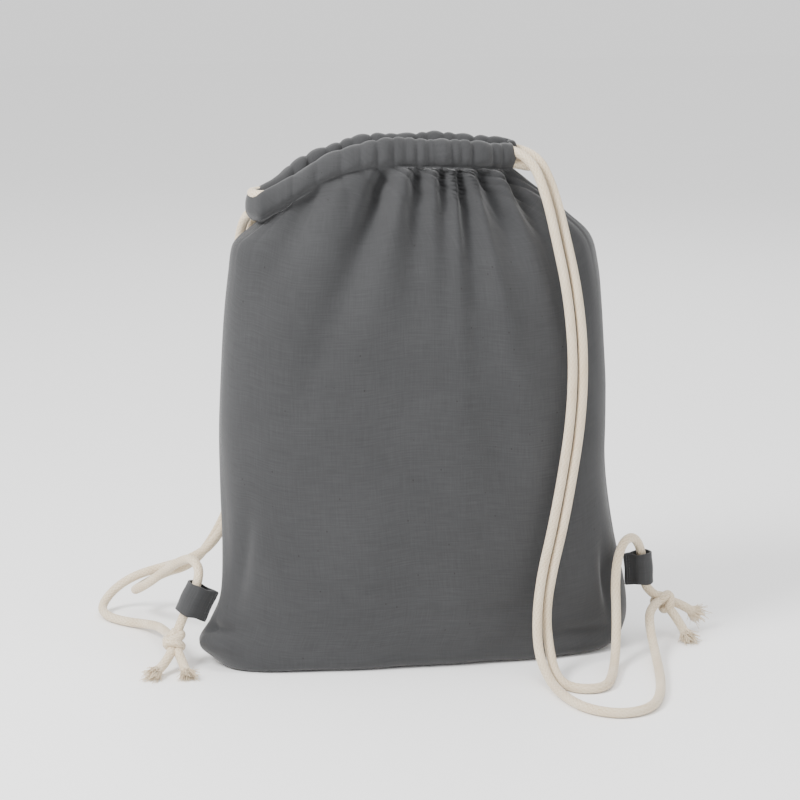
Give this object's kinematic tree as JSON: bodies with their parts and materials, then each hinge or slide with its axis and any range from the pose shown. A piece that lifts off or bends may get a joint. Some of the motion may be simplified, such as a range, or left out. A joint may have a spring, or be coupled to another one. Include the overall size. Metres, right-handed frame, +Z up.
{
  "type": "drawstring backpack",
  "caption": "Stuffed drawstring backpack: gathered hem casings, paired cords that form the shoulder straps, and a fabric loop tab at each bottom corner.",
  "frame": {"origin": "on the floor, under the middle of the bag and its tabs", "axes": "+X across the bag towards the tab on the viewer's right, +Y from the front to the back, +Z up"},
  "size_m": [0.5072, 0.3795, 0.4395],
  "materials": {
    "canvas": "plain-weave cotton, dark grey",
    "hem_canvas": "folded plain-weave cotton, dark grey",
    "seam_canvas": "raw seam edge, dark grey",
    "tab_canvas": "folded cotton strip, dark grey",
    "thread": "sewing thread, dark grey",
    "cotton_cord": "braided natural cotton"
  },
  "bodies": {
    "bag": {"front_panel": "canvas", "back_panel": "canvas", "front_casing": "hem_canvas", "back_casing": "hem_canvas", "front_casing_stitch": "thread", "back_casing_stitch": "thread", "left_seam": "seam_canvas", "right_seam": "seam_canvas", "bottom_seam": "seam_canvas", "left_knot": "cotton_cord", "right_knot": "cotton_cord", "right_cord_casing_run": "cotton_cord", "left_cord_casing_run": "cotton_cord", "right_cord_front_strand": "cotton_cord", "right_cord_back_strand": "cotton_cord", "left_cord_back_strand": "cotton_cord", "left_cord_front_strand": "cotton_cord", "right_tail_a": "cotton_cord", "right_tail_b": "cotton_cord", "left_tail_a": "cotton_cord", "left_tail_b": "cotton_cord"},
    "left_loop": {"left_tab": "tab_canvas", "left_tab_stitch": "thread"},
    "right_loop": {"right_tab": "tab_canvas", "right_tab_stitch": "thread"}
  },
  "joints": [
    {"name": "left_loop_swing", "type": "hinge", "parent": "bag", "child": "left_loop", "pos_m": [-0.1745, 0, 0.049], "axis": [-0.4337, 0, -0.9011], "range_deg": [-6, 6]},
    {"name": "right_loop_swing", "type": "hinge", "parent": "bag", "child": "right_loop", "pos_m": [0.1846, 0, 0.063], "axis": [-0.0698, 0, 0.9976], "range_deg": [-6, 6]}
  ]
}
